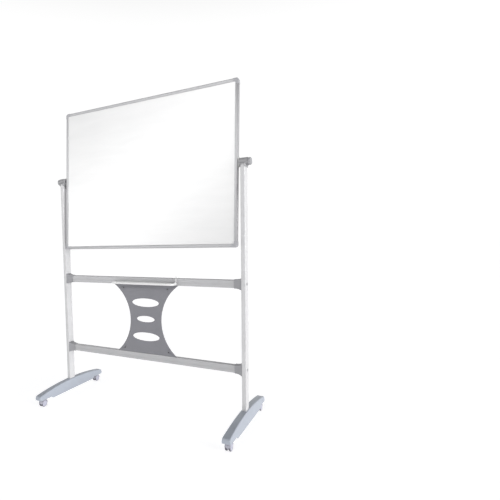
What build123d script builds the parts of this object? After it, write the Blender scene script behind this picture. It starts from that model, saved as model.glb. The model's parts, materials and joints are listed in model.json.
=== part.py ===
from build123d import *
import math
import os

# Rolling whiteboard: a double-sided board that turns about a horizontal axis between two posts.
# Millimetres. X runs to the right seen from the front, -Y is the front, +Z is up.
# The origin is on the floor, midway between the posts.

# --- overall sizes ---
board_width = 1200.0
board_height = 900.0
pivot_height = 1453.0
pivot_rise = 3.0  # pivot axis above the middle of the board
rest_tilt = 3.3  # degrees that the bottom edge stands forward at rest
foot_length = 620.0

# --- board ---
rail_depth = 22.0
rail_face = 19.0
rail_wall = 1.5
rail_round = 4.5
chamber_depth = 13.0
cap_leg = 32.0
cap_radius = 15.0
cap_proud = 0.6
cap_round = 1.5
panel_thickness = 0.6
core_thickness = 16.6
core_inset = 1.0
panel_edge = 9.0  # from the outside of the board to the edge of the panels
panel_gap = 0.15
panel_step = 0.1  # the writing area stands this far above the edge that the rails cover
panel_field_gap = 0.3
tongue_length = 16.0
tongue_gap = 0.1
tongue_root = 1.0  # part of the tongue that starts inside its corner cap

# --- posts and pivots ---
board_side_gap = 15.5  # board edge to post
post_width = 25.0
post_depth = 50.0
post_radius = 4.0
post_wall = 1.8
shaft_diameter = 12.0
running_gap = 0.05
bush_wall = 3.0
flange_thickness = 2.5
flange_length = 56.0
flange_width = 17.0
flange_corner = 5.0
flange_screw_offset = 21.0
flange_screw_length = 7.0
head_screw_length = 9.0
collar_diameter = 30.0
washer_diameter = 28.0
washer_thickness = 1.2
part_gap = 0.3  # between pieces that turn past each other
head_diameter = 44.0
head_wall = 4.0
head_skirt = 15.0
head_arch = 14.0  # height of the arch under the skirt
head_round = 1.2
head_overhang = 12.0  # barrel past the outer face of the post
head_reach = 10.5  # barrel past the inner face of the post
tongue_drop = 45.0  # from the axis to the tip of the head's tongue
tongue_top_width = 40.0
tongue_tip_width = 17.0
tongue_tip_rise = 6.8  # height of the rounded tip
tongue_start = 6.0  # top of the tongue below the axis
knob_diameter = 47.0
knob_thickness = 16.0
knob_wall = 4.0
knob_corner = 6.0
knob_face_round = 3.0
knob_back_round = 1.0
thread_diameter = 10.0
thread_chamfer = 0.8
thread_room = 1.0  # the thread stops this far short of the end of its bore

# --- crossbars and sockets ---
upper_bar_height = 802.0
lower_bar_height = 330.0
bar_height = 45.0
bar_depth = 25.0
bar_radius = 5.0
bar_wall = 2.2
groove_width = 4.0
groove_depth = 1.4
groove_drop = 4.0
groove_rim = 1.0  # metal above and below the groove
socket_length = 44.0
socket_grip = 28.0
socket_wall = 2.6
socket_flare_height = 67.0
socket_middle = 0.55  # share of the length at which the flare begins
socket_swell_depth = 10.4  # deeper than the bar there
socket_swell_height = 8.8  # taller than the bar there
socket_edge_round = 1.0
fit_gap = 0.15
cut_margin = 1.0  # how far a cut starts outside the face that it goes through
bolt_diameter = 8.0
bolt_grip = 28.0

# --- centre plate and pen tray ---
plate_top_width = 460.0
plate_bottom_width = 422.0
plate_waist = 222.0
plate_setback = 8.5  # the plate in front of the middle of the bars
plate_thickness = 3.0
plate_hole_sizes = [(190.0, 52.0), (126.0, 38.0), (190.0, 52.0)]
plate_hole_offsets = [102.0, 0.0, -110.0]  # from the middle of the plate
bracket_offset = 157.0
bracket_width = 26.0
bracket_leg = 34.0
bracket_shelf = 10.0
bracket_screw_drop = 22.0
bracket_thickness = 2.0
bracket_screw_room = 0.5  # between a screw head and the bracket
small_screw = 4.0
screw_head = 7.0
screw_head_height = 2.4
screw_recess = 2.5
plate_screw_length = 9.0
tray_length = 440.0
tray_depth = 57.0
tray_wall = 2.0
tray_lip = 11.0
tray_drop = 17.0  # underside of the tray below the middle of the bar
tray_corner = 26.0
tray_bow = 4.0
tray_screw_offset = 150.0
tray_screw_rise = 6.0  # above the underside of the tray
upright_rise = 10.0  # the upright at one end, above the top of the bar
upright_top = 9.0
upright_foot = 25.0
upright_hook = 14.0
upright_hollow = 0.2  # share of the taper that is left beside the middle of the bar

# --- feet ---
foot_width = 37.0  # at the top of the arch
foot_draft = 6.0  # degrees that the sides spread downwards
foot_underside = 46.5  # over the casters
foot_skirt = 8.0  # how far the middle of the foot hangs below that
skirt_slope = 10.0
foot_rise = 60.5  # from the underside to the top of the arch
foot_tip = 31.0  # from the underside to the end of the arch
foot_wall = 2.5
foot_round = 5.0
tip_round_top = 17.0
tip_round_bottom = 11.0
beam_width = 30.0
beam_height = 20.0
beam_wall = 2.0
beam_inset = 30.0
plug_height = 30.0
plug_tip_room = 4.0  # the foot bolts stop this far inside the plugs
beam_clearance = 1.0  # beam above the underside of the cover
foot_bolt_spacing = 26.0
bolt_head = 13.0
bolt_head_height = 4.5
bolt_recess = 6.0

# --- casters ---
wheel_diameter = 44.0
wheel_width = 9.5
wheel_spacing = 11.0  # gap between the two wheels of a caster
axle_diameter = 6.0
caster_inset = 57.0  # swivel axis from the tip of the foot
caster_trail = 14.0
hood_gap = 0.8
hood_wall = 1.7
stem_diameter = 6.0
grip_diameter = 10.0
hub_radius = 6.0
rim_depth = 5.0
stem_bottom = 27.0
hood_rise = 3.0  # the rim of the hood above the axle
axle_inset = 2.5  # ends of the axle inside the faces of the wheels
tyre_round = 2.5
wheel_dish = 1.5  # face of the wheel inside its rim
hub_cap = 2.0
wheel_web = 3.0
rim_bevel = 1.0
dish_rise = 1.1  # the middle of the face stands out this far

# --- places worked out from the sizes above ---
board_edge = board_width / 2
post_x = board_edge + board_side_gap + post_width / 2
post_inner = post_x - post_width / 2
post_outer = post_x + post_width / 2
beam_top = foot_underside + beam_clearance + beam_height
bush_radius = shaft_diameter / 2 + running_gap + bush_wall
post_top = pivot_height - bush_radius - head_wall
rail_edge = board_edge - cap_proud
flange_end = rail_edge + flange_thickness
head_outer = post_outer + head_overhang
head_inner = post_inner - head_reach
washer_end = head_inner - part_gap
collar_end = washer_end - washer_thickness
knob_inner = head_outer + part_gap
knob_outer = knob_inner + knob_thickness
stack = core_thickness + 2 * panel_thickness
slot_depth = stack + 2 * panel_gap
bar_end = post_inner - socket_length + socket_grip - fit_gap
socket_start = post_inner - socket_length
wheel_radius = wheel_diameter / 2
swivel_y = foot_length / 2 - caster_inset
wheel_y = swivel_y + caster_trail
hood_radius = wheel_radius + hood_gap + hood_wall
hood_top = wheel_radius + hood_radius + part_gap
web_thickness = wheel_spacing - 2 * part_gap
caster_width = wheel_spacing + 2 * wheel_width

chamber_width = panel_edge - cap_proud - 2 * rail_wall
tongue_screw_height = pivot_height - tongue_drop + tongue_tip_width / 2
plate_top = upper_bar_height - bar_height / 2 - tongue_gap
plate_bottom = lower_bar_height + bar_height / 2 + tongue_gap
plate_middle = (plate_top + plate_bottom) / 2
plate_back = plate_thickness / 2 - plate_setback
plate_front = plate_back - plate_thickness
bracket_faces = [(upper_bar_height - bar_height / 2, -1), (lower_bar_height + bar_height / 2, 1)]
bracket_xs = [-bracket_offset, bracket_offset]
bracket_screw_places = [
    (x, face + up * bracket_screw_drop) for x in bracket_xs for face, up in bracket_faces
]
bracket_screw_y = plate_back + bracket_thickness + screw_head / 2 + bracket_screw_room
tray_bottom = upper_bar_height - tray_drop
tray_rear = -bar_depth / 2 - fit_gap
tray_screw_length = bar_depth + fit_gap + tray_wall
tray_screw_height = tray_bottom + tray_screw_rise
tray_screw_places = [(-tray_screw_offset, tray_screw_height), (tray_screw_offset, tray_screw_height)]
foot_bolt_places = [-foot_bolt_spacing / 2, foot_bolt_spacing / 2]

tilt = math.radians(rest_tilt)
board_plane = Plane(
    origin=(0, pivot_rise * math.sin(-tilt), pivot_height - pivot_rise * math.cos(tilt)),
    x_dir=(1, 0, 0),
    z_dir=(0, -math.cos(tilt), math.sin(tilt)),
)

os.makedirs("parts", exist_ok=True)


def save(part, name):
    """Label a finished piece and write it to a file of its own."""
    part.label = name
    export_step(part, f"parts/{name}.step")


def save_pair(part, name):
    """Write a right-hand piece, and its mirror image on the left."""
    save(part, f"right_{name}")
    save(mirror(part, about=Plane.YZ), f"left_{name}")


def both_sides(part):
    """A small piece and its mirror image, which share one node."""
    return group([part, mirror(part, about=Plane.YZ)])


def screw(place, head, head_height, shank, length, recess):
    """A hexagon-socket screw: its head stands on the plane, its shank goes down from it."""
    with BuildPart() as made:
        with BuildSketch(place):
            Circle(head / 2)
        extrude(amount=head_height)
        chamfer(made.faces().sort_by(Axis(place.origin, place.z_dir))[-1].edges(), head_height * 0.3)
        with BuildSketch(place.offset(head_height)):
            RegularPolygon(recess / 2, 6)
        extrude(amount=-head_height * 0.6, mode=Mode.SUBTRACT)
        with BuildSketch(place):
            Circle(shank / 2)
        extrude(amount=-length)
    return made.part


def bolt(place, length):
    """One of the large bolts that hold the stand together."""
    return screw(place, bolt_head, bolt_head_height, bolt_diameter, length, bolt_recess)


def small(place, length):
    """One of the small screws."""
    return screw(place, screw_head, screw_head_height, small_screw, length, screw_recess)


def group(pieces):
    """Identical separate pieces that share one node."""
    with BuildPart() as made:
        for piece in pieces:
            add(piece)
    return made.part


def facing(direction, x, y, z):
    """A plane at a point, looking along a direction."""
    return Plane(origin=(x, y, z), z_dir=direction)


# --- posts: rounded rectangular steel tube ---
with BuildPart() as post:
    with BuildSketch(Plane.XY.offset(beam_top)):
        with Locations((post_x, 0)):
            RectangleRounded(post_width, post_depth, post_radius)
            RectangleRounded(
                post_width - 2 * post_wall,
                post_depth - 2 * post_wall,
                post_radius - post_wall,
                mode=Mode.SUBTRACT,
            )
    extrude(amount=post_top - beam_top)
    for height in (upper_bar_height, lower_bar_height):
        with BuildSketch(Plane.YZ.offset(post_inner - cut_margin)):
            with Locations((0, height)):
                Circle(bolt_diameter / 2 + fit_gap)
        extrude(amount=post_width + 2 * cut_margin, mode=Mode.SUBTRACT)
    with BuildSketch(Plane.YZ.offset(post_inner - cut_margin)):
        with Locations((0, tongue_screw_height)):
            Circle(small_screw / 2 + fit_gap)
    extrude(amount=post_wall + 2 * cut_margin, mode=Mode.SUBTRACT)
save_pair(post.part, "post")

# Threaded steel plug in the bottom of each post, which the foot bolts screw into.
with BuildPart() as plug:
    with BuildSketch(Plane.XY.offset(beam_top)):
        with Locations((post_x, 0)):
            RectangleRounded(
                post_width - 2 * post_wall - 2 * tongue_gap,
                post_depth - 2 * post_wall - 2 * tongue_gap,
                post_radius - post_wall,
            )
        with Locations(*[(post_x, y) for y in foot_bolt_places]):
            Circle(bolt_diameter / 2 + running_gap, mode=Mode.SUBTRACT)
    extrude(amount=plug_height)
save(both_sides(plug.part), "post_plugs")


# --- feet: arched moulded cover over a steel box beam ---
def foot_block(inset, skirt):
    """The foot, with one arc over the top, round tips and raised ends underneath for the casters."""
    half = foot_length / 2 - inset
    tip_top = foot_underside + foot_tip - inset
    underside = foot_underside - skirt
    skirt_end = swivel_y - caster_trail - hood_radius - hood_gap
    with BuildPart() as block:
        with BuildSketch(Plane.YZ.offset(post_x)) as profile:
            with BuildLine():
                ThreePointArc((-half, tip_top), (0, foot_underside + foot_rise - inset), (half, tip_top))
                Polyline(
                    (half, tip_top),
                    (half, underside),
                    (skirt_end, underside),
                    (skirt_end - skirt_slope, foot_underside - foot_skirt - inset),
                    (skirt_slope - skirt_end, foot_underside - foot_skirt - inset),
                    (-skirt_end, underside),
                    (-half, underside),
                    (-half, tip_top),
                )
            make_face()
            fillet(profile.vertices().group_by(Axis.Y)[-1], tip_round_top - inset)
            front_end = profile.vertices().group_by(Axis.X)[0].sort_by(Axis.Y)[0]
            rear_end = profile.vertices().group_by(Axis.X)[-1].sort_by(Axis.Y)[0]
            fillet([front_end, rear_end], tip_round_bottom - inset)
        extrude(amount=foot_width / 2 - inset, both=True)
        crown = Plane.XY.offset(foot_underside + foot_rise)
        draft(block.faces().filter_by(Axis.X), crown, foot_draft)
    return block.part


foot_outside = foot_block(0, 0)
foot_inside = foot_block(foot_wall, foot_wall)
with BuildPart() as foot_cover:
    add(foot_outside)
    sides = foot_cover.faces().sort_by(Axis.X)
    side_edges = sides[0].edges() + sides[-1].edges()
    above_tips = foot_underside + tip_round_bottom
    fillet(side_edges.filter_by(lambda edge: edge.center().Z > above_tips), foot_round)
    add(foot_inside, mode=Mode.SUBTRACT)
    with BuildSketch(Plane.XY.offset(beam_top)):
        with Locations((post_x, 0)):
            RectangleRounded(post_width + 2 * fit_gap, post_depth + 2 * fit_gap, post_radius + fit_gap)
    extrude(amount=foot_rise, mode=Mode.SUBTRACT)
save_pair(foot_cover.part, "foot_cover")

with BuildPart() as foot_beam:
    beam_length = foot_length - 2 * beam_inset
    with BuildSketch(Plane.XZ.offset(-beam_length / 2)):
        with Locations((post_x, beam_top - beam_height / 2)):
            RectangleRounded(beam_width, beam_height, beam_wall)
            Rectangle(beam_width - 2 * beam_wall, beam_height - 2 * beam_wall, mode=Mode.SUBTRACT)
    extrude(amount=beam_length)
    with BuildSketch(Plane.XY.offset(beam_top + cut_margin)):
        with Locations(*[(post_x, y) for y in foot_bolt_places]):
            Circle(bolt_diameter / 2 + fit_gap)
        with Locations((post_x, -swivel_y), (post_x, swivel_y)):
            Circle(grip_diameter / 2 + running_gap)
    extrude(amount=-beam_height - 2 * cut_margin, mode=Mode.SUBTRACT)
save_pair(foot_beam.part, "foot_beam")

foot_bolts = group(
    bolt(facing((0, 0, -1), x, y, beam_top - beam_height), beam_height + plug_height - plug_tip_room)
    for x in (-post_x, post_x)
    for y in foot_bolt_places
)
save(foot_bolts, "foot_bolts")


# --- crossbars: aluminium section with a groove on each face and a screw port in the middle ---
def crossbar(height, bracket_face, takes_tray):
    """A bar at a height, with screw holes for the plate's brackets and perhaps for the tray."""
    with BuildPart() as bar:
        with BuildSketch(Plane.YZ.offset(-bar_end)):
            with Locations((0, height)):
                RectangleRounded(bar_depth, bar_height, bar_radius)
                RectangleRounded(
                    bar_depth - 2 * bar_wall,
                    bar_height - 2 * bar_wall,
                    bar_radius - bar_wall,
                    mode=Mode.SUBTRACT,
                )
                Circle(bolt_diameter)
            with Locations((0, height - groove_drop)):
                Rectangle(bar_depth - bar_wall, groove_width + 2 * groove_rim)
            with Locations((0, height)):
                Circle(bolt_diameter / 2 + running_gap, mode=Mode.SUBTRACT)
            with Locations(
                (-bar_depth / 2, height - groove_drop), (bar_depth / 2, height - groove_drop)
            ):
                Rectangle(2 * groove_depth, groove_width, mode=Mode.SUBTRACT)
        extrude(amount=2 * bar_end)
        with BuildSketch(Plane.XY.offset(bracket_face - bar_radius)):
            with Locations(*[(x, bracket_screw_y) for x in bracket_xs]):
                Circle(small_screw / 2 + fit_gap)
        extrude(amount=2 * bar_radius, mode=Mode.SUBTRACT)
        if takes_tray:
            with BuildSketch(Plane.XZ.offset(bar_depth / 2 + cut_margin)):
                with Locations(*tray_screw_places):
                    Circle(small_screw / 2 + fit_gap)
            extrude(amount=-bar_depth - 2 * cut_margin, mode=Mode.SUBTRACT)
    return bar.part


# Flared moulded sockets that take the bar ends and bolt to the posts.
def socket(height):
    middle = socket_start + socket_middle * socket_length
    with BuildPart() as made:
        for x, depth, tall in (
            (socket_start, bar_depth + 2 * socket_wall, bar_height + 2 * socket_wall),
            (middle, bar_depth + socket_swell_depth, bar_height + socket_swell_height),
            (post_inner, post_depth, socket_flare_height),
        ):
            with BuildSketch(Plane.YZ.offset(x)):
                with Locations((0, height)):
                    RectangleRounded(depth, tall, bar_radius)
        loft()
        fillet(made.faces().sort_by(Axis.X)[0].edges(), socket_edge_round)
        with BuildSketch(Plane.YZ.offset(socket_start)):
            with Locations((0, height)):
                RectangleRounded(bar_depth + 2 * fit_gap, bar_height + 2 * fit_gap, bar_radius + fit_gap)
        extrude(amount=socket_grip, mode=Mode.SUBTRACT)
        with BuildSketch(Plane.YZ.offset(socket_start)):
            with Locations((0, height)):
                Circle(bolt_diameter / 2 + fit_gap)
        extrude(amount=socket_length, mode=Mode.SUBTRACT)
    return made.part


for bar_name, height, (face, up) in zip(
    ("upper", "lower"), (upper_bar_height, lower_bar_height), bracket_faces
):
    save(crossbar(height, face, takes_tray=bar_name == "upper"), f"{bar_name}_crossbar")
    right_socket = socket(height)
    save(right_socket, f"{bar_name}_right_socket")
    save(mirror(right_socket, about=Plane.YZ), f"{bar_name}_left_socket")

crossbar_bolt_length = post_width + socket_length - socket_grip + bolt_grip
crossbar_bolts = group(
    bolt(facing((side, 0, 0), side * post_outer, 0, height), crossbar_bolt_length)
    for side in (-1, 1)
    for height in (upper_bar_height, lower_bar_height)
)
save(crossbar_bolts, "crossbar_bolts")


# --- centre plate: hourglass sheet with three elliptical openings ---
with BuildPart() as centre_plate:
    with BuildSketch(Plane.XZ.offset(-plate_back)):
        top_half = plate_top_width / 2
        bottom_half = plate_bottom_width / 2
        waist_half = plate_waist / 2
        with BuildLine():
            Line((-top_half, plate_top), (top_half, plate_top))
            ThreePointArc((top_half, plate_top), (waist_half, plate_middle), (bottom_half, plate_bottom))
            Line((bottom_half, plate_bottom), (-bottom_half, plate_bottom))
            ThreePointArc(
                (-bottom_half, plate_bottom), (-waist_half, plate_middle), (-top_half, plate_top)
            )
        make_face()
        for offset_up, (length, height) in zip(plate_hole_offsets, plate_hole_sizes):
            with Locations((0, plate_middle + offset_up)):
                Ellipse(length / 2, height / 2, mode=Mode.SUBTRACT)
        with Locations(*bracket_screw_places):
            Circle(small_screw / 2 + fit_gap, mode=Mode.SUBTRACT)
    extrude(amount=plate_thickness)
save(centre_plate.part, "centre_plate")


# Angle brackets behind the plate's corners, screwed to the plate and to the bars.
def plate_bracket(x, bar_face, up):
    """An angle bracket on one face of a bar; up is 1 on top of a bar and -1 below it."""
    with BuildPart() as bracket:
        with BuildSketch(Plane.YZ.offset(x - bracket_width / 2)):
            with BuildLine():
                Polyline(
                    (plate_back, bar_face),
                    (plate_back, bar_face + up * bracket_leg),
                    (plate_back + bracket_thickness, bar_face + up * bracket_leg),
                    (plate_back + bracket_thickness, bar_face + up * bracket_thickness),
                    (plate_back + bracket_shelf, bar_face + up * bracket_thickness),
                    (plate_back + bracket_shelf, bar_face),
                    close=True,
                )
            make_face()
        extrude(amount=bracket_width)
        with BuildSketch(Plane.XZ.offset(-plate_back - bracket_thickness - cut_margin)):
            with Locations((x, bar_face + up * bracket_screw_drop)):
                Circle(small_screw / 2 + fit_gap)
        extrude(amount=bracket_thickness + 2 * cut_margin, mode=Mode.SUBTRACT)
        with BuildSketch(Plane.XY.offset(bar_face - bracket_thickness)):
            with Locations((x, bracket_screw_y)):
                Circle(small_screw / 2 + fit_gap)
        extrude(amount=2 * bracket_thickness, mode=Mode.SUBTRACT)
    return bracket.part


plate_brackets = group(
    plate_bracket(x, bar_face, up)
    for x in bracket_xs
    for bar_face, up in bracket_faces
)
save(plate_brackets, "plate_brackets")

plate_screws = group(
    [small(facing((0, -1, 0), x, plate_front, z), plate_screw_length) for x, z in bracket_screw_places]
    + [
        small(facing((0, 0, up), x, bracket_screw_y, face + up * bracket_thickness), plate_screw_length)
        for x in bracket_xs
        for face, up in bracket_faces
    ]
)
save(plate_screws, "plate_screws")


# --- pen tray: hangs on the front of the upper bar ---
def tray_plan(inset):
    """Plan of the tray in the current line block: straight at the back, rounded at the front."""
    half = tray_length / 2 - inset
    front = tray_rear - tray_depth + inset
    back = tray_rear - inset
    corner = tray_corner - inset
    sag = corner * (1 - math.sqrt(0.5))
    Line((-half, back), (half, back))
    Line((half, back), (half, front + corner + tray_bow))
    ThreePointArc(
        (half, front + corner + tray_bow),
        (half - sag, front + sag + tray_bow),
        (half - corner, front + tray_bow),
    )
    ThreePointArc((half - corner, front + tray_bow), (0, front), (corner - half, front + tray_bow))
    ThreePointArc(
        (corner - half, front + tray_bow),
        (sag - half, front + sag + tray_bow),
        (-half, front + corner + tray_bow),
    )
    Line((-half, front + corner + tray_bow), (-half, back))


with BuildPart() as pen_tray:
    with BuildSketch(Plane.XY.offset(tray_bottom)):
        with BuildLine():
            tray_plan(0)
        make_face()
    extrude(amount=tray_lip)
    with BuildSketch(Plane.XY.offset(tray_bottom + tray_wall)):
        with BuildLine():
            tray_plan(tray_wall)
        make_face()
    extrude(amount=tray_lip, mode=Mode.SUBTRACT)
    # An upright at the right-hand end rises past the bar and hooks over it.
    with BuildSketch(Plane.YZ.offset(tray_length / 2)):
        bar_top = upper_bar_height + bar_height / 2 + fit_gap
        upright_height = bar_top + upright_rise
        hollow = upright_top + upright_hollow * (upright_foot - upright_top)
        with BuildLine():
            Polyline(
                (tray_rear - upright_foot, tray_bottom + tray_lip / 2),
                (tray_rear, tray_bottom + tray_lip / 2),
                (tray_rear, bar_top),
                (tray_rear + upright_hook, bar_top),
                (tray_rear + upright_hook, bar_top + tray_wall),
                (tray_rear, upright_height),
                (tray_rear - upright_top, upright_height),
            )
            ThreePointArc(
                (tray_rear - upright_top, upright_height),
                (tray_rear - hollow, upper_bar_height),
                (tray_rear - upright_foot, tray_bottom + tray_lip / 2),
            )
        make_face()
    extrude(amount=-tray_wall)
    with BuildSketch(Plane.XZ.offset(-tray_rear + tray_wall + cut_margin)):
        with Locations(*tray_screw_places):
            Circle(small_screw / 2 + fit_gap)
    extrude(amount=-tray_wall - 2 * cut_margin, mode=Mode.SUBTRACT)
save(pen_tray.part, "pen_tray")

tray_screws = group(
    small(facing((0, 1, 0), x, bar_depth / 2, z), tray_screw_length)
    for x, z in tray_screw_places
)
save(tray_screws, "tray_screws")


# --- pivot heads: a barrel across the top of each post, with a tongue down its inner face ---
cap_width = post_width + 2 * head_wall
cap_depth = post_depth + 2 * head_wall
with BuildPart() as pivot_head:
    # Cap over the top of the post.
    with BuildSketch(Plane.XY.offset(post_top - head_skirt)):
        with Locations((post_x, 0)):
            RectangleRounded(cap_width, cap_depth, post_radius + head_wall)
    extrude(amount=head_skirt + head_wall)
    cap_top = pivot_head.faces().filter_by(Axis.Z).sort_by(Axis.Z)[-1]
    fillet(cap_top.edges().filter_by(Axis.X), head_wall)
    # Arch under each narrow face of the cap.
    with BuildSketch(Plane.XZ.offset(-post_depth)):
        with Locations((post_x, post_top - head_skirt)):
            Ellipse(post_width / 2, head_arch)
    extrude(amount=2 * post_depth, mode=Mode.SUBTRACT)
    # Tapered tongue down the inner face, as a block that the post is cut out of.
    with BuildSketch(Plane.YZ.offset(post_inner - head_wall)):
        with BuildLine():
            top = pivot_height - tongue_start
            tip = pivot_height - tongue_drop
            tip_side = tip + tongue_tip_rise
            half_top = tongue_top_width / 2
            half_tip = tongue_tip_width / 2
            Line((-half_top, top), (half_top, top))
            Line((half_top, top), (half_tip, tip_side))
            ThreePointArc((half_tip, tip_side), (0, tip), (-half_tip, tip_side))
            Line((-half_tip, tip_side), (-half_top, top))
        make_face()
    extrude(amount=head_wall + post_width / 2)
    with BuildSketch(Plane.YZ.offset(head_inner)):
        with Locations((0, pivot_height)):
            Circle(head_diameter / 2)
    extrude(amount=head_outer - head_inner)
    fillet(pivot_head.faces().filter_by(Axis.X).sort_by(Axis.X)[0].edges(), head_round)
    fillet(pivot_head.faces().filter_by(Axis.X).sort_by(Axis.X)[-1].edges(), head_round)
    with BuildSketch(Plane.YZ.offset(head_inner)):
        with Locations((0, pivot_height)):
            Circle(bush_radius)
    extrude(amount=head_outer - head_inner, mode=Mode.SUBTRACT)
    with BuildSketch(Plane.XY.offset(post_top)):
        with Locations((post_x, 0)):
            RectangleRounded(post_width + 2 * fit_gap, post_depth + 2 * fit_gap, post_radius + fit_gap)
    extrude(amount=-tongue_drop, mode=Mode.SUBTRACT)
    with BuildSketch(Plane.YZ.offset(post_inner - head_wall)):
        with Locations((0, tongue_screw_height)):
            Circle(small_screw / 2 + fit_gap)
    extrude(amount=head_wall, mode=Mode.SUBTRACT)
save_pair(pivot_head.part, "pivot_head")

with BuildPart() as pivot_bush:
    with BuildSketch(Plane.YZ.offset(head_inner)):
        with Locations((0, pivot_height)):
            Circle(bush_radius)
            Circle(shaft_diameter / 2 + running_gap, mode=Mode.SUBTRACT)
    extrude(amount=head_outer - head_inner)
save(both_sides(pivot_bush.part), "pivot_bushes")

tongue_face = post_inner - head_wall
head_screws = group(
    small(facing((-side, 0, 0), side * tongue_face, 0, tongue_screw_height), head_screw_length)
    for side in (-1, 1)
)
save(head_screws, "head_screws")


# --- board frame: aluminium rails between moulded corner caps ---
def board_point(x, y, z=0.0):
    """A point given across, up and out from the middle of the tilted board."""
    return board_plane.from_local_coords((x, y, z))


def rail(x, y, out, along, length, flange_holes=False):
    """A frame rail; out points away from the middle of the board and along follows the rail."""
    depth_in = rail_face - cap_proud
    slot_in = panel_edge - cap_proud
    with BuildPart() as made:
        with BuildSketch(Plane(origin=board_point(x, y), x_dir=out, z_dir=along)) as profile:
            with Locations((-depth_in / 2, 0)):
                Rectangle(depth_in, rail_depth)
            fillet(profile.vertices().group_by(Axis.X)[-1], rail_round)
            with Locations((-depth_in, 0)):
                Rectangle(2 * (depth_in - slot_in), slot_depth, mode=Mode.SUBTRACT)
            with Locations((-rail_wall - chamber_width / 2, 0)):
                Rectangle(chamber_width, chamber_depth, mode=Mode.SUBTRACT)
        extrude(amount=length)
        if flange_holes:
            with BuildSketch(Plane(origin=board_point(x, pivot_rise), x_dir=along, z_dir=-out)):
                with Locations((-flange_screw_offset, 0), (flange_screw_offset, 0)):
                    Circle(small_screw / 2 + fit_gap)
            extrude(amount=2 * rail_wall, mode=Mode.SUBTRACT)
    return made.part


rail_x = board_edge - cap_proud
rail_y = board_height / 2 - cap_proud
across = board_width - 2 * cap_leg
upright = board_height - 2 * cap_leg
board_right = board_plane.x_dir
board_up = board_plane.y_dir
save(rail(-across / 2, rail_y, board_up, board_right, across), "frame_top_rail")
save(rail(-across / 2, -rail_y, -board_up, board_right, across), "frame_bottom_rail")
save(rail(-rail_x, -upright / 2, -board_right, board_up, upright, True), "frame_left_rail")
save(rail(rail_x, -upright / 2, board_right, board_up, upright, True), "frame_right_rail")


def corner_cap(right, up):
    """A moulded corner with a tongue into the chamber of each rail; right and up are 1 or -1."""
    start_y = board_height / 2 - cap_leg
    round_y = board_height / 2 - cap_radius
    sag = cap_radius * (1 - math.sqrt(0.5))
    cap_half = rail_depth / 2 + cap_proud
    with BuildPart() as cap:
        with BuildSketch(board_plane.offset(-cap_half)):
            with BuildLine():
                Line((right * board_edge, up * start_y), (right * board_edge, up * round_y))
                ThreePointArc(
                    (right * board_edge, up * round_y),
                    (right * (board_edge - sag), up * (board_height / 2 - sag)),
                    (right * (board_edge - cap_radius), up * board_height / 2),
                )
                Polyline(
                    (right * (board_edge - cap_radius), up * board_height / 2),
                    (right * (board_edge - cap_leg), up * board_height / 2),
                    (right * (board_edge - cap_leg), up * (board_height / 2 - rail_face)),
                    (right * (board_edge - rail_face), up * (board_height / 2 - rail_face)),
                    (right * (board_edge - rail_face), up * start_y),
                    (right * board_edge, up * start_y),
                )
            make_face()
        extrude(amount=2 * cap_half)
        outward = cap.faces().sort_by(Axis(board_plane.origin, board_plane.z_dir))
        fillet(outward[0].edges() + outward[-1].edges(), cap_round)
        with BuildSketch(board_plane.offset(-slot_depth / 2)):
            Rectangle(board_width - 2 * panel_edge, board_height - 2 * panel_edge)
        extrude(amount=slot_depth, mode=Mode.SUBTRACT)
        tongue_mid = cap_proud + rail_wall + chamber_width / 2
        tongue_reach = cap_leg + tongue_length / 2 - tongue_root
        with BuildSketch(board_plane.offset(-chamber_depth / 2 + tongue_gap)):
            with Locations((right * (board_edge - tongue_mid), up * (board_height / 2 - tongue_reach))):
                Rectangle(chamber_width - 2 * tongue_gap, tongue_length + 2 * tongue_root)
            with Locations((right * (board_edge - tongue_reach), up * (board_height / 2 - tongue_mid))):
                Rectangle(tongue_length + 2 * tongue_root, chamber_width - 2 * tongue_gap)
        extrude(amount=chamber_depth - 2 * tongue_gap)
    return cap.part


for up_name, up in (("top", 1), ("bottom", -1)):
    for side_name, right in (("left", -1), ("right", 1)):
        save(corner_cap(right, up), f"corner_cap_{up_name}_{side_name}")


# --- board: two steel writing sheets on a light core ---
def board_layer(start, thickness, edge):
    """A flat layer of the board, from a distance in front of its middle; edge is its inset all round."""
    with BuildPart() as layer:
        with BuildSketch(board_plane.offset(start)):
            Rectangle(board_width - 2 * edge, board_height - 2 * edge)
        extrude(amount=thickness)
    return layer.part


def writing_panel(side):
    """A writing sheet whose exposed area is slightly raised; side is 1 for the front, -1 for the back."""
    back = side * core_thickness / 2
    sheet = board_layer(back, side * panel_thickness, panel_edge + panel_gap)
    field = board_layer(back, side * (panel_thickness + panel_step), rail_face + panel_field_gap)
    with BuildPart() as panel:
        add(sheet)
        add(field)
    return panel.part


save(writing_panel(1), "front_writing_panel")
save(writing_panel(-1), "back_writing_panel")
save(board_layer(-core_thickness / 2, core_thickness, panel_edge + core_inset), "board_core")

# --- pivots: flanged shafts on the board's sides, which turn in the bushes ---
flange_plane = Plane(origin=(rail_edge, 0, pivot_height), x_dir=board_up, z_dir=(1, 0, 0))
with BuildPart() as pivot_shaft:
    with BuildSketch(flange_plane):
        RectangleRounded(flange_length, flange_width, flange_corner)
        with Locations((-flange_screw_offset, 0), (flange_screw_offset, 0)):
            Circle(small_screw / 2 + fit_gap, mode=Mode.SUBTRACT)
    extrude(amount=flange_thickness)
    with BuildSketch(flange_plane):
        Circle(shaft_diameter / 2)
    extrude(amount=head_outer - rail_edge - part_gap)
    with BuildSketch(flange_plane):
        Circle(thread_diameter / 2)
    extrude(amount=knob_outer - knob_wall - thread_room - rail_edge)
    chamfer(pivot_shaft.faces().sort_by(Axis.X)[-1].edges(), thread_chamfer)
save_pair(pivot_shaft.part, "pivot_shaft")


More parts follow.
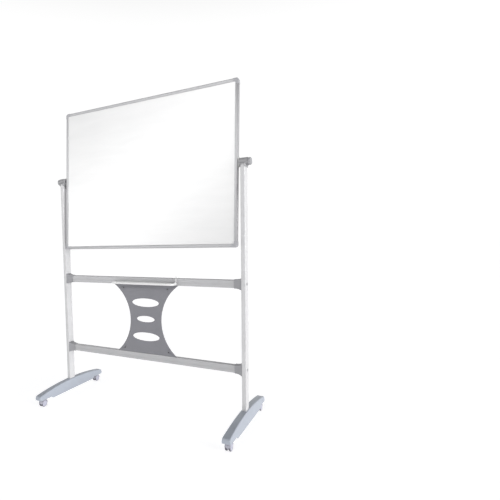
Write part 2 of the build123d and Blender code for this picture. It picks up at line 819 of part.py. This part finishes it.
def ring(start, end, outer, inner):
    """A plain ring about the pivot axis."""
    with BuildPart() as made:
        with BuildSketch(Plane.YZ.offset(start)):
            with Locations((0, pivot_height)):
                Circle(outer / 2)
                Circle(inner / 2, mode=Mode.SUBTRACT)
        extrude(amount=end - start)
    return made.part


bored = shaft_diameter + 2 * running_gap
save(both_sides(ring(flange_end, collar_end, collar_diameter, bored)), "pivot_collars")
save(both_sides(ring(collar_end, washer_end, washer_diameter, bored)), "friction_washers")

flange_screws = group(
    small(
        Plane(origin=board_point(side * flange_end, pivot_rise + up), z_dir=(side, 0, 0)),
        flange_screw_length,
    )
    for side in (-1, 1)
    for up in (-flange_screw_offset, flange_screw_offset)
)
save(flange_screws, "flange_screws")

# Clamp knob: rounded hexagon, threaded on the outer end of the shaft.
with BuildPart() as knob:
    with BuildSketch(Plane.YZ.offset(knob_inner)) as knob_outline:
        with Locations((0, pivot_height)):
            RegularPolygon(knob_diameter / 2, 6)
        fillet(knob_outline.vertices(), knob_corner)
    extrude(amount=knob_thickness)
    fillet(knob.faces().sort_by(Axis.X)[-1].edges(), knob_face_round)
    fillet(knob.faces().sort_by(Axis.X)[0].edges(), knob_back_round)
    with BuildSketch(Plane.YZ.offset(knob_inner)):
        with Locations((0, pivot_height)):
            Circle(thread_diameter / 2 + running_gap)
    extrude(amount=knob_thickness - knob_wall, mode=Mode.SUBTRACT)
save_pair(knob.part, "clamp_knob")


# --- casters: a hood that swivels on its stem, and two wheels on one axle ---
def caster_stem(x, swivel):
    with BuildPart() as stem:
        with BuildSketch(Plane.XY.offset(stem_bottom)):
            with Locations((x, swivel)):
                Circle(stem_diameter / 2)
        extrude(amount=beam_top - stem_bottom)
        with BuildSketch(Plane.XY.offset(hood_top + part_gap)):
            with Locations((x, swivel)):
                Circle(grip_diameter / 2)
        extrude(amount=beam_top - hood_top - part_gap)
    return stem.part


def caster_hood(x, swivel, wheel_middle):
    below = (3 * hood_radius, 2 * hood_radius)
    with BuildPart() as hood:
        # Web between the wheels.
        with BuildSketch(Plane.YZ.offset(x)):
            with Locations((wheel_middle, wheel_radius)):
                Circle(wheel_radius - rim_depth)
            with Locations((swivel, hood_top)):
                Rectangle(
                    stem_diameter + 4 * hood_wall,
                    hood_top - wheel_radius,
                    align=(Align.CENTER, Align.MAX),
                )
        extrude(amount=web_thickness / 2, both=True)
        # Cover over the tops of the wheels.
        with BuildSketch(Plane.YZ.offset(x)):
            with Locations((wheel_middle, wheel_radius)):
                Circle(hood_radius)
                Circle(wheel_radius + hood_gap, mode=Mode.SUBTRACT)
            with Locations((wheel_middle, wheel_radius + hood_rise)):
                Rectangle(*below, align=(Align.CENTER, Align.MAX), mode=Mode.SUBTRACT)
        extrude(amount=caster_width / 2, both=True)
        with BuildSketch(Plane.YZ.offset(x)):
            with Locations((wheel_middle, wheel_radius)):
                Circle(hood_radius - hood_wall / 2)
                Rectangle(*below, align=(Align.CENTER, Align.MAX), mode=Mode.SUBTRACT)
        extrude(amount=web_thickness / 2, both=True)
        with BuildSketch(Plane.XY.offset(stem_bottom - cut_margin)):
            with Locations((x, swivel)):
                Circle(stem_diameter / 2 + running_gap)
        extrude(amount=hood_top, mode=Mode.SUBTRACT)
        with BuildSketch(Plane.YZ.offset(x)):
            with Locations((wheel_middle, wheel_radius)):
                Circle(axle_diameter / 2)
        extrude(amount=web_thickness, both=True, mode=Mode.SUBTRACT)
    return hood.part


def caster_axle(x, wheel_middle):
    with BuildPart() as axle:
        with BuildSketch(Plane.YZ.offset(x)):
            with Locations((wheel_middle, wheel_radius)):
                Circle(axle_diameter / 2)
        extrude(amount=caster_width / 2 - axle_inset, both=True)
    return axle.part


def caster_wheel(x, side, wheel_middle):
    """A dished wheel on one side of the caster; side is 1 for +X and -1 for -X."""
    start = Plane(
        origin=(x + side * wheel_spacing / 2, wheel_middle, wheel_radius),
        x_dir=(side, 0, 0),
        z_dir=(0, -side, 0),
    )
    bore = axle_diameter / 2 + running_gap
    rim = wheel_radius - rim_depth
    face = wheel_width - wheel_dish
    bore_end = wheel_width - hub_cap
    web = face - wheel_web
    tyre = wheel_radius - tyre_round
    sag = tyre_round * (1 - math.sqrt(0.5))
    with BuildPart() as wheel:
        with BuildSketch(start):
            with BuildLine():
                Polyline((0, bore), (bore_end, bore), (bore_end, 0), (wheel_width, 0))
                ThreePointArc((wheel_width, 0), (face + dish_rise, rim / 2), (face, rim))
                Polyline((face, rim), (wheel_width, rim + rim_bevel), (wheel_width, tyre))
                ThreePointArc(
                    (wheel_width, tyre),
                    (wheel_width - sag, wheel_radius - sag),
                    (wheel_width - tyre_round, wheel_radius),
                )
                Line((wheel_width - tyre_round, wheel_radius), (tyre_round, wheel_radius))
                ThreePointArc((tyre_round, wheel_radius), (sag, wheel_radius - sag), (0, tyre))
                Polyline(
                    (0, tyre),
                    (0, rim),
                    (web, rim),
                    (web, hub_radius),
                    (0, hub_radius),
                    (0, bore),
                )
            make_face()
        revolve(axis=Axis(start.origin, (1, 0, 0)))
    return wheel.part


stems = []
for end_name, end in (("front", -1), ("rear", 1)):
    for side_name, side in (("left", -1), ("right", 1)):
        name = f"{end_name}_{side_name}_caster"
        x = side * post_x
        swivel = end * swivel_y
        wheel_middle = end * wheel_y
        stems.append(caster_stem(x, swivel))
        save(caster_hood(x, swivel, wheel_middle), f"{name}_hood")
        save(caster_axle(x, wheel_middle), f"{name}_axle")
        save(caster_wheel(x, side, wheel_middle), f"{name}_outer_wheel")
        save(caster_wheel(x, -side, wheel_middle), f"{name}_inner_wheel")
save(group(stems), "caster_stems")
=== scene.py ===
import json
import math

import bmesh
import bpy
from mathutils import Matrix, Vector


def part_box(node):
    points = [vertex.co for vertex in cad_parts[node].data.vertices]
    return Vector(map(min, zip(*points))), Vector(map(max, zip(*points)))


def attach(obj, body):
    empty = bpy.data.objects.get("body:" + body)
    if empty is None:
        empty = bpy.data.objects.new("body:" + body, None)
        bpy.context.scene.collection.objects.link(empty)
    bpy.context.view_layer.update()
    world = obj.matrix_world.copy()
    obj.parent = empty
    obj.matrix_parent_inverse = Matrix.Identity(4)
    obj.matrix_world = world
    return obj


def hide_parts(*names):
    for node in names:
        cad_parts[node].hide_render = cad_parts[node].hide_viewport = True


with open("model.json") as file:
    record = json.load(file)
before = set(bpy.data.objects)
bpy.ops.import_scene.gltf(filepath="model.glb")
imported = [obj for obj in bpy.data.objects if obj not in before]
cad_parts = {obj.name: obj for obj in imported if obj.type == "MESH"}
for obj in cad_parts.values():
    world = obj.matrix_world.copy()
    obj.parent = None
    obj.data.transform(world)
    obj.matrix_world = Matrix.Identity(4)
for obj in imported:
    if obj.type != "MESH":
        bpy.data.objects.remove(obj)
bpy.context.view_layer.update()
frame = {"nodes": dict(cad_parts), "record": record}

# Rolling whiteboard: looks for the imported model. Metres, in the model's own frame.

nodes = frame["nodes"]
slot_of = {row["node"]: row["material_slot"] for row in frame["record"]["subparts"]}
bodies = frame["record"]["behaviour"]["bodies"]
body_of = {node: body for body, members in bodies.items() for node in members}

# ---------------------------------------------------------------- camera

CAMERA_PLACE = Vector((1.305, -2.1015, 1.0392))
CAMERA_YAW = math.radians(28.33)
CAMERA_PITCH = math.radians(3.95)
CAMERA_ROLL = math.radians(-1.14)
CAMERA_LENS = 29.09
CAMERA_SHIFT = (0.16, 0.039)


def make_camera():
    """A camera at the photograph's place, turned left by the yaw and down by the pitch."""
    ahead = Vector((
        -math.sin(CAMERA_YAW) * math.cos(CAMERA_PITCH),
        math.cos(CAMERA_YAW) * math.cos(CAMERA_PITCH),
        -math.sin(CAMERA_PITCH),
    ))
    level = Vector((math.cos(CAMERA_YAW), math.sin(CAMERA_YAW), 0))
    upward = level.cross(ahead)
    right = level * math.cos(CAMERA_ROLL) + upward * math.sin(CAMERA_ROLL)
    up = upward * math.cos(CAMERA_ROLL) - level * math.sin(CAMERA_ROLL)
    data = bpy.data.cameras.new("camera")
    data.lens = CAMERA_LENS
    data.shift_x, data.shift_y = CAMERA_SHIFT
    camera = bpy.data.objects.new("camera", data)
    turn = Matrix((right, up, -ahead)).transposed().to_4x4()
    camera.matrix_world = Matrix.Translation(CAMERA_PLACE) @ turn
    bpy.context.collection.objects.link(camera)
    bpy.context.scene.camera = camera


# ---------------------------------------------------------------- stage and light

def node_tree(owner):
    owner.use_nodes = True
    tree = owner.node_tree
    tree.nodes.clear()
    return tree


# The strip of light that the board reflects, and the surroundings that everything else does.
STRIP_ACROSS = (-0.7315, 0.737, 1.0)
STRIP_WIDTH = 0.26
STRIP_FACING = (-0.5, -0.84, 0.2)
STRIP_FADE = (0.55, 0.9)
STRIP_STRENGTH = 3.0
OVERHEAD_HEIGHTS = (0.42, 0.85)
OVERHEAD_LEVELS = (1.02, 0.12)
FRONT_DEPTHS = (-0.9, 0.1)
FRONT_LEVELS = (0.7, 1.0)


def remap(tree, source, given, wanted, smooth=False):
    """A node that maps one range of a value onto another; returns its output."""
    node = tree.nodes.new("ShaderNodeMapRange")
    if smooth:
        node.interpolation_type = "SMOOTHSTEP"
    node.inputs["From Min"].default_value = given[0]
    node.inputs["From Max"].default_value = given[1]
    node.inputs["To Min"].default_value = wanted[0]
    node.inputs["To Max"].default_value = wanted[1]
    tree.links.new(source, node.inputs["Value"])
    return node.outputs["Result"]


def along(tree, source, direction):
    """How far a vector points along a direction."""
    node = tree.nodes.new("ShaderNodeVectorMath")
    node.operation = "DOT_PRODUCT"
    node.inputs[1].default_value = Vector(direction).normalized()
    tree.links.new(source, node.inputs[0])
    return node.outputs["Value"]


def calculate(tree, operation, *sources):
    """A maths node whose sources are outputs or plain numbers."""
    node = tree.nodes.new("ShaderNodeMath")
    node.operation = operation
    for socket, source in zip(node.inputs, sources):
        if isinstance(source, float):
            socket.default_value = source
        else:
            tree.links.new(source, socket)
    return node.outputs[0]


def make_world():
    """Even studio surroundings, with one soft diagonal light strip that the board reflects."""
    world = bpy.data.worlds.new("studio")
    bpy.context.scene.world = world
    tree = node_tree(world)
    new, link = tree.nodes.new, tree.links.new
    place = new("ShaderNodeTexCoord").outputs["Generated"]
    distance = calculate(tree, "ABSOLUTE", along(tree, place, STRIP_ACROSS))
    glow = remap(tree, distance, (0.0, STRIP_WIDTH), (1.0, 0.0), smooth=True)
    facing = remap(tree, along(tree, place, STRIP_FACING), STRIP_FADE, (0.0, 1.0), smooth=True)
    strip = calculate(tree, "MULTIPLY", glow, facing)
    split = new("ShaderNodeSeparateXYZ")
    link(place, split.inputs[0])
    overhead = remap(tree, split.outputs["Z"], OVERHEAD_HEIGHTS, OVERHEAD_LEVELS, smooth=True)
    front = remap(tree, split.outputs["Y"], FRONT_DEPTHS, FRONT_LEVELS, smooth=True)
    surroundings = calculate(tree, "MULTIPLY", overhead, front)
    background = new("ShaderNodeBackground")
    background.inputs["Color"].default_value = (1.0, 1.0, 1.0, 1)
    level = calculate(tree, "MULTIPLY_ADD", strip, STRIP_STRENGTH, surroundings)
    link(level, background.inputs["Strength"])
    out = new("ShaderNodeOutputWorld")
    link(background.outputs[0], out.inputs["Surface"])


KEY_DIRECTION = (-1.0, 0.1, -0.06)
KEY_STRENGTH = 2.9
KEY_SOFTNESS = 24  # degrees
FLOOR_RADIUS = 40.0
FLOOR_COLOUR = (0.55, 0.55, 0.56, 1)
FLOOR_GLOW = 0.7


def sun(name, direction, strength, softness):
    """A distant soft light that shines along a direction."""
    data = bpy.data.lights.new(name, "SUN")
    data.energy = strength
    data.angle = math.radians(softness)
    light = bpy.data.objects.new(name, data)
    light.rotation_euler = Vector(direction).to_track_quat("-Z", "Y").to_euler()
    bpy.context.collection.objects.link(light)


def make_stage():
    """A plain white floor that fades into the white surroundings."""
    bm = bmesh.new()
    bmesh.ops.create_circle(bm, cap_ends=True, segments=96, radius=FLOOR_RADIUS)
    mesh = bpy.data.meshes.new("floor")
    bm.to_mesh(mesh)
    bm.free()
    floor = bpy.data.objects.new("floor", mesh)
    bpy.context.collection.objects.link(floor)
    material = bpy.data.materials.new("floor_white")
    tree = node_tree(material)
    new, link = tree.nodes.new, tree.links.new
    matte = new("ShaderNodeBsdfDiffuse")
    matte.inputs["Color"].default_value = FLOOR_COLOUR
    glow = new("ShaderNodeEmission")
    glow.inputs["Color"].default_value = (1, 1, 1, 1)
    glow.inputs["Strength"].default_value = FLOOR_GLOW
    both = new("ShaderNodeAddShader")
    link(matte.outputs[0], both.inputs[0])
    link(glow.outputs[0], both.inputs[1])
    out = new("ShaderNodeOutputMaterial")
    link(both.outputs[0], out.inputs["Surface"])
    mesh.materials.append(material)


def make_lights():
    sun("key", KEY_DIRECTION, KEY_STRENGTH, KEY_SOFTNESS)


# ---------------------------------------------------------------- materials

# Colour, metalness, roughness, size of the grain (waves a metre), how it stretches, its bump
# and how far the colour varies.
FINISHES = {
    "post_enamel": dict(colour=(0.53, 0.53, 0.54), rough=0.32, grain=900, bump=0.04, vary=0.05, coat=0.35),
    "zinc_steel": dict(colour=(0.55, 0.55, 0.53), metal=0.9, rough=0.38, grain=500, bump=0.1, vary=0.12),
    "zinc_screws": dict(colour=(0.45, 0.45, 0.46), metal=0.9, rough=0.35, grain=900, bump=0.1, vary=0.12),
    "foot_plastic": dict(colour=(0.345, 0.375, 0.43), rough=0.42, grain=1100, bump=0.08,
                         vary=0.06, coat=0.15),
    "bar_aluminium": dict(colour=(0.43, 0.43, 0.44), metal=0.55, rough=0.42, grain=700, bump=0.06,
                          vary=0.06, stretch=(0.02, 1, 1)),
    "socket_plastic": dict(colour=(0.28, 0.28, 0.295), rough=0.5, grain=1400, bump=0.15, vary=0.06),
    "plate_enamel": dict(colour=(0.193, 0.193, 0.212), rough=0.46, grain=1500, bump=0.22, vary=0.05),
    "tray_plastic": dict(colour=(0.72, 0.72, 0.72), rough=0.4, grain=1200, bump=0.06, vary=0.03),
    "head_plastic": dict(colour=(0.298, 0.298, 0.308), rough=0.45, grain=1400, bump=0.14, vary=0.06),
    "black_screws": dict(colour=(0.05, 0.05, 0.055), rough=0.4, grain=900, bump=0.1, vary=0.1),
    "nylon": dict(colour=(0.75, 0.73, 0.66), rough=0.5, grain=900, bump=0.06, vary=0.05),
    "frame_aluminium": dict(colour=(0.385, 0.385, 0.395), metal=0.6, rough=0.36, grain=800, bump=0.05,
                            vary=0.05, stretch=(0.02, 1, 1)),
    "corner_plastic": dict(colour=(0.36, 0.36, 0.38), rough=0.42, grain=1200, bump=0.1, vary=0.05),
    "core_board": dict(colour=(0.5, 0.4, 0.27), rough=0.9, grain=500, bump=0.2, vary=0.15),
    "collar_plastic": dict(colour=(0.12, 0.12, 0.13), rough=0.5, grain=1200, bump=0.1, vary=0.05),
    "knob_plastic": dict(colour=(0.33, 0.33, 0.345), rough=0.42, grain=1300, bump=0.12, vary=0.05),
    "hood_plastic": dict(colour=(0.38, 0.38, 0.44), rough=0.4, grain=1200, bump=0.1, vary=0.06),
    "knob_end": dict(colour=(0.3, 0.3, 0.315), rough=0.4, grain=1300, bump=0.12, vary=0.05),
    "tread": dict(colour=(0.13, 0.125, 0.15), rough=0.55, grain=1500, bump=0.2, vary=0.08),
    "wheel_plastic": dict(colour=(0.41, 0.41, 0.49), rough=0.42, grain=1000, bump=0.1, vary=0.07),
}


GRAIN_HEIGHT = 0.0004


def shade(colour, factor):
    return tuple(min(1.0, c * factor) for c in colour) + (1.0,)


def surface(name, colour, rough, grain, bump, vary, metal=0.0, coat=0.0, stretch=(1, 1, 1)):
    """A moulded, painted or drawn surface: broad mottling in the colour, fine grain in gloss and bump."""
    material = bpy.data.materials.new(name)
    tree = node_tree(material)
    new, link = tree.nodes.new, tree.links.new
    place = new("ShaderNodeTexCoord")
    # Broad, soft changes of colour.
    broad = new("ShaderNodeTexNoise")
    broad.inputs["Scale"].default_value = 9.0
    broad.inputs["Detail"].default_value = 5.0
    broad.inputs["Roughness"].default_value = 0.6
    link(place.outputs["Object"], broad.inputs["Vector"])
    # Fine grain, drawn out along the piece where it was extruded.
    spread = new("ShaderNodeMapping")
    spread.inputs["Scale"].default_value = stretch
    link(place.outputs["Object"], spread.inputs["Vector"])
    fine = new("ShaderNodeTexNoise")
    fine.inputs["Scale"].default_value = grain
    fine.inputs["Detail"].default_value = 3.0
    link(spread.outputs[0], fine.inputs["Vector"])
    mixed = new("ShaderNodeMath")
    mixed.operation = "MULTIPLY_ADD"
    mixed.inputs[1].default_value = 0.35
    link(fine.outputs["Fac"], mixed.inputs[0])
    link(broad.outputs["Fac"], mixed.inputs[2])
    ramp = new("ShaderNodeValToRGB")
    ramp.color_ramp.elements[0].position = 0.38
    ramp.color_ramp.elements[0].color = shade(colour, 1 - vary)
    ramp.color_ramp.elements[1].position = 0.95
    ramp.color_ramp.elements[1].color = shade(colour, 1 + vary)
    link(mixed.outputs[0], ramp.inputs["Fac"])
    dull = remap(tree, mixed.outputs[0], (0.3, 1.0), (rough - 0.06, rough + 0.1))
    relief = new("ShaderNodeBump")
    relief.inputs["Strength"].default_value = bump
    relief.inputs["Distance"].default_value = GRAIN_HEIGHT
    link(fine.outputs["Fac"], relief.inputs["Height"])
    shader = new("ShaderNodeBsdfPrincipled")
    shader.inputs["Metallic"].default_value = metal
    shader.inputs["Coat Weight"].default_value = coat
    shader.inputs["Coat Roughness"].default_value = 0.15
    link(ramp.outputs["Color"], shader.inputs["Base Color"])
    link(dull, shader.inputs["Roughness"])
    link(relief.outputs["Normal"], shader.inputs["Normal"])
    out = new("ShaderNodeOutputMaterial")
    link(shader.outputs[0], out.inputs["Surface"])
    return material


def writing_enamel():
    """Glossy dry-wipe enamel with the faint haze that wiping leaves."""
    material = bpy.data.materials.new("writing_enamel")
    tree = node_tree(material)
    new, link = tree.nodes.new, tree.links.new
    place = new("ShaderNodeTexCoord")
    slant = new("ShaderNodeMapping")
    slant.inputs["Rotation"].default_value = (0, math.radians(34), 0)
    slant.inputs["Scale"].default_value = (1.2, 1.0, 7.0)
    link(place.outputs["Object"], slant.inputs["Vector"])
    wipes = new("ShaderNodeTexNoise")
    wipes.inputs["Scale"].default_value = 3.0
    wipes.inputs["Detail"].default_value = 6.0
    wipes.inputs["Distortion"].default_value = 0.4
    link(slant.outputs[0], wipes.inputs["Vector"])
    peel = new("ShaderNodeTexNoise")
    peel.inputs["Scale"].default_value = 260.0
    link(place.outputs["Object"], peel.inputs["Vector"])
    ramp = new("ShaderNodeValToRGB")
    ramp.color_ramp.elements[0].position = 0.3
    ramp.color_ramp.elements[0].color = (0.715, 0.715, 0.715, 1)
    ramp.color_ramp.elements[1].position = 0.62
    ramp.color_ramp.elements[1].color = (0.74, 0.74, 0.74, 1)
    link(wipes.outputs["Fac"], ramp.inputs["Fac"])
    dull = remap(tree, wipes.outputs["Fac"], (0.3, 0.7), (0.17, 0.26))
    relief = new("ShaderNodeBump")
    relief.inputs["Strength"].default_value = 0.02
    relief.inputs["Distance"].default_value = GRAIN_HEIGHT
    link(peel.outputs["Fac"], relief.inputs["Height"])
    shader = new("ShaderNodeBsdfPrincipled")
    shader.inputs["IOR"].default_value = 1.55
    shader.inputs["Coat Weight"].default_value = 1.0
    shader.inputs["Coat Roughness"].default_value = 0.12
    shader.inputs["Coat IOR"].default_value = 1.6
    link(ramp.outputs["Color"], shader.inputs["Base Color"])
    link(dull, shader.inputs["Roughness"])
    link(relief.outputs["Normal"], shader.inputs["Normal"])
    out = new("ShaderNodeOutputMaterial")
    link(shader.outputs[0], out.inputs["Surface"])
    return material


materials = {name: surface(name, **finish) for name, finish in FINISHES.items()}
materials["writing_enamel"] = writing_enamel()


def dress(obj, material):
    obj.data.materials.clear()
    obj.data.materials.append(material)


WELD_DISTANCE = 0.00001


def smooth_edges(obj, width, segments=2, angle=32):
    """Joins the node's shared edges and rounds the sharp ones a little, so that they catch light."""
    weld = obj.modifiers.new("weld", "WELD")
    weld.merge_threshold = WELD_DISTANCE
    bevel = obj.modifiers.new("edge", "BEVEL")
    bevel.width = width
    bevel.segments = segments
    bevel.limit_method = "ANGLE"
    bevel.angle_limit = math.radians(angle)


# How far the edges of each finish are rounded, in metres.
EDGES = {
    "bar_aluminium": 0.0004,
    "socket_plastic": 0.0012,
    "plate_enamel": 0.0005,
    "tray_plastic": 0.0006,
    "corner_plastic": 0.0005,
    "frame_aluminium": 0.0004,
    "hood_plastic": 0.0006,
}


def dress_nodes():
    for name, obj in nodes.items():
        dress(obj, materials["black_screws" if name == "plate_screws" else slot_of[name]])
        if slot_of[name] in EDGES:
            smooth_edges(obj, EDGES[slot_of[name]])


# ---------------------------------------------------------------- pieces

SHARP_ANGLE = math.radians(35)


def turned(name, place, direction, rings, hoop=False, steps=64, lobes=0, lobe_depth=0.0):
    """A piece turned about the X axis through a place; direction is 1 or -1.

    Each ring is (how far along, radius, material number of the band that starts there, how lobed).
    A hoop's last ring joins its first; any other piece is closed at both ends.
    """
    bm = bmesh.new()
    loops = []
    for along_axis, radius, _, lobed in rings:
        loop = []
        for step in range(steps):
            turn = 2 * math.pi * step / steps
            reach = radius * (1 - lobe_depth * lobed * 0.5 * (1 - math.cos(lobes * turn)))
            spoke = Vector((direction * along_axis, reach * math.cos(turn), reach * math.sin(turn)))
            loop.append(bm.verts.new(place + spoke))
        loops.append(loop)
    following = loops[1:] + loops[:1] if hoop else loops[1:]
    for ring, (near, far) in enumerate(zip(loops, following)):
        for step in range(steps):
            after = (step + 1) % steps
            face = bm.faces.new((near[step], near[after], far[after], far[step]))
            face.material_index = rings[ring][2]
            face.smooth = True
    if not hoop:
        for loop, band in ((loops[0], rings[0][2]), (loops[-1], rings[-1][2])):
            face = bm.faces.new(loop)
            face.material_index = band
    bmesh.ops.recalc_face_normals(bm, faces=bm.faces)
    mesh = bpy.data.meshes.new(name)
    bm.to_mesh(mesh)
    bm.free()
    mesh.set_sharp_from_angle(angle=SHARP_ANGLE)
    piece = bpy.data.objects.new(name, mesh)
    bpy.context.collection.objects.link(piece)
    return piece


def middle_of(box):
    low, high = box
    return (Vector(low) + Vector(high)) / 2


def make_knobs():
    """Lobed clamp knobs with a softly dished end and a pale centre cap."""
    for side_name, side in (("left", -1), ("right", 1)):
        node = f"{side_name}_clamp_knob"
        low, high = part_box(node)
        middle = middle_of((low, high))
        length = high[0] - low[0]
        reach = min(high[1] - low[1], high[2] - low[2]) / 2
        start = Vector((low[0] if side > 0 else high[0], middle.y, middle.z))
        rings = [
            (0.0, reach * 0.80, 0, 0.3),
            (length * 0.06, reach * 0.92, 0, 0.8),
            (length * 0.20, reach * 0.98, 0, 1.0),
            (length * 0.62, reach, 0, 1.0),
            (length * 0.80, reach * 0.985, 1, 0.9),
            (length * 0.91, reach * 0.945, 1, 0.7),
            (length * 0.975, reach * 0.88, 1, 0.4),
            (length, reach * 0.79, 1, 0.1),
            (length * 0.985, reach * 0.70, 1, 0.0),
            (length * 0.93, reach * 0.66, 1, 0.0),
            (length * 0.92, reach * 0.44, 1, 0.0),
            (length * 0.965, reach * 0.41, 1, 0.0),
            (length * 0.985, reach * 0.34, 1, 0.0),
            (length * 0.995, reach * 0.18, 1, 0.0),
        ]
        knob = turned(f"{side_name}_knob_detail", start, side, rings, steps=96, lobes=8, lobe_depth=0.07)
        knob.data.materials.append(materials["knob_plastic"])
        knob.data.materials.append(materials["knob_end"])
        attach(knob, body_of[node])
        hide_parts(node)


AXLE_RADIUS = 0.003
AXLE_GAP = 0.0001


def make_wheels():
    """Caster wheels with a soft tread, a rim groove and a pale domed hub with a centre cap."""
    for node, slot in slot_of.items():
        if not node.endswith("_wheel"):
            continue
        low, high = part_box(node)
        middle = middle_of((low, high))
        caster = node[: node.index("_caster") + len("_caster")]
        web = middle_of(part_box(f"{caster}_axle")).x
        side = 1 if middle.x > web else -1
        start = Vector((low[0] if side > 0 else high[0], middle.y, middle.z))
        width = high[0] - low[0]
        radius = (high[2] - low[2]) / 2
        bore = AXLE_RADIUS + AXLE_GAP
        rings = [
            (0.0, bore, 1, 0.0),
            (0.0, radius * 0.27, 1, 0.0),
            (width * 0.40, radius * 0.28, 1, 0.0),
            (width * 0.44, radius * 0.76, 0, 0.0),
            (0.0, radius * 0.78, 0, 0.0),
            (0.0, radius * 0.90, 0, 0.0),
            (width * 0.05, radius * 0.955, 0, 0.0),
            (width * 0.15, radius * 0.99, 0, 0.0),
            (width * 0.28, radius, 0, 0.0),
            (width * 0.70, radius, 0, 0.0),
            (width * 0.85, radius * 0.99, 0, 0.0),
            (width * 0.94, radius * 0.955, 0, 0.0),
            (width * 0.965, radius * 0.91, 0, 0.0),
            (width * 0.95, radius * 0.875, 0, 0.0),
            (width * 0.90, radius * 0.865, 1, 0.0),
            (width * 0.90, radius * 0.845, 1, 0.0),
            (width * 0.955, radius * 0.83, 1, 0.0),
            (width * 0.975, radius * 0.70, 1, 0.0),
            (width * 0.985, radius * 0.46, 1, 0.0),
            (width * 0.94, radius * 0.43, 1, 0.0),
            (width * 0.94, radius * 0.40, 1, 0.0),
            (width * 0.99, radius * 0.37, 1, 0.0),
            (width, radius * 0.20, 1, 0.0),
            (width, radius * 0.02, 1, 0.0),
            (width * 0.80, radius * 0.02, 1, 0.0),
            (width * 0.80, bore, 1, 0.0),
        ]
        wheel = turned(f"{node}_detail", start, side, rings, hoop=True)
        wheel.data.materials.append(materials["tread"])
        wheel.data.materials.append(materials["wheel_plastic"])
        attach(wheel, body_of[node])
        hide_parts(node)


make_camera()
make_world()
make_stage()
make_lights()
dress_nodes()
make_knobs()
make_wheels()

bpy.context.scene.view_settings.view_transform = "Standard"
